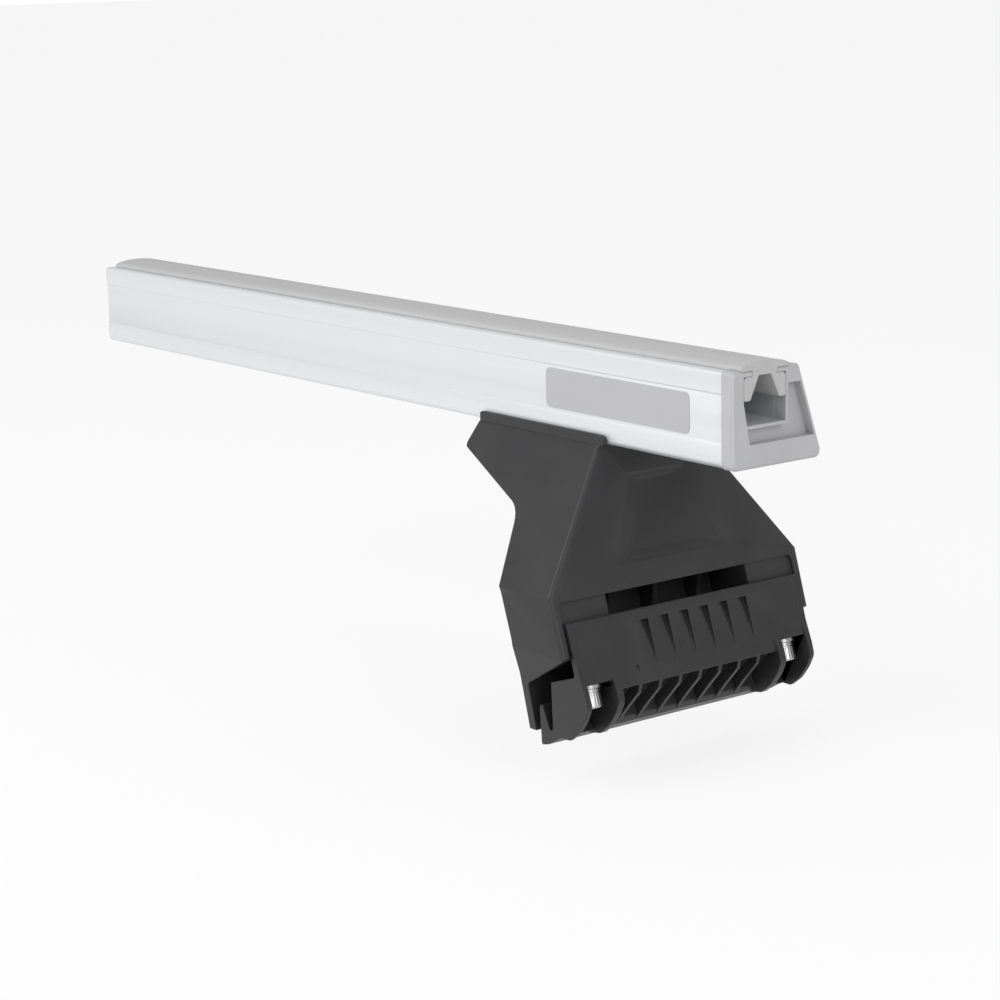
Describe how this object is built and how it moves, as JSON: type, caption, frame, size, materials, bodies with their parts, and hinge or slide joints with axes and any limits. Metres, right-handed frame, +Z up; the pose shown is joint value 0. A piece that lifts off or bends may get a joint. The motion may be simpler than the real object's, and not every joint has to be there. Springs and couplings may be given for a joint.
{
  "type": "roof rack crossbar",
  "caption": "Outer end of an aluminium crossbar with rubber strip and end cap, bolted to a black moulded gutter-mount leg with a screw-up clamp.",
  "frame": {"origin": "middle of the foot's underside, where the leg stands in the vehicle's gutter", "axes": "+X along the bar towards its capped outer end, +Y across the bar, +Z up"},
  "size_m": [0.462, 0.131, 0.1544],
  "materials": {
    "bar_aluminium": "satin silver anodised",
    "strip_rubber": "matt grey extruded rubber",
    "cap_plastic": "fine grained grey moulding",
    "label_film": "blank grey label film",
    "leg_plastic": "satin black glass-filled nylon",
    "clamp_plastic": "satin black glass-filled nylon",
    "bright_steel": "stainless",
    "zinc_steel": "zinc plated"
  },
  "bodies": {
    "leg": {"leg_body": "leg_plastic", "bar_extrusion": "bar_aluminium", "top_strip": "strip_rubber", "end_cap": "cap_plastic", "side_label": "label_film", "clamp_nut_near": "zinc_steel", "clamp_nut_far": "zinc_steel", "bar_bolt_inner": "zinc_steel", "bar_bolt_outer": "zinc_steel", "bar_washer_inner": "zinc_steel", "bar_washer_outer": "zinc_steel", "bar_nut_inner": "zinc_steel", "bar_nut_outer": "zinc_steel"},
    "clamp": {"clamp": "clamp_plastic", "flat_washer_near": "bright_steel", "flat_washer_far": "bright_steel", "spring_washer_near": "bright_steel", "spring_washer_far": "bright_steel"},
    "screw_near": {"clamp_screw_near": "bright_steel"},
    "screw_far": {"clamp_screw_far": "bright_steel"}
  },
  "joints": [
    {"name": "clamp_slide", "type": "slide", "parent": "leg", "child": "clamp", "axis": [-0.3123, 0, 0.95], "range_m": [-0.015, 0.005]},
    {"name": "screw_near_turn", "type": "hinge", "parent": "clamp", "child": "screw_near", "pos_m": [0.02497, -0.0516, 0.0219], "axis": [-0.3123, 0, 0.95], "range_deg": [-5400, 1800]},
    {"name": "screw_far_turn", "type": "hinge", "parent": "clamp", "child": "screw_far", "pos_m": [0.02497, 0.0516, 0.0219], "axis": [-0.3123, 0, 0.95], "range_deg": [-5400, 1800]}
  ],
  "couplings": [
    {"joint": "screw_near_turn", "follows": "clamp_slide", "rad_per_m": 6283.2},
    {"joint": "screw_far_turn", "follows": "clamp_slide", "rad_per_m": 6283.2}
  ]
}
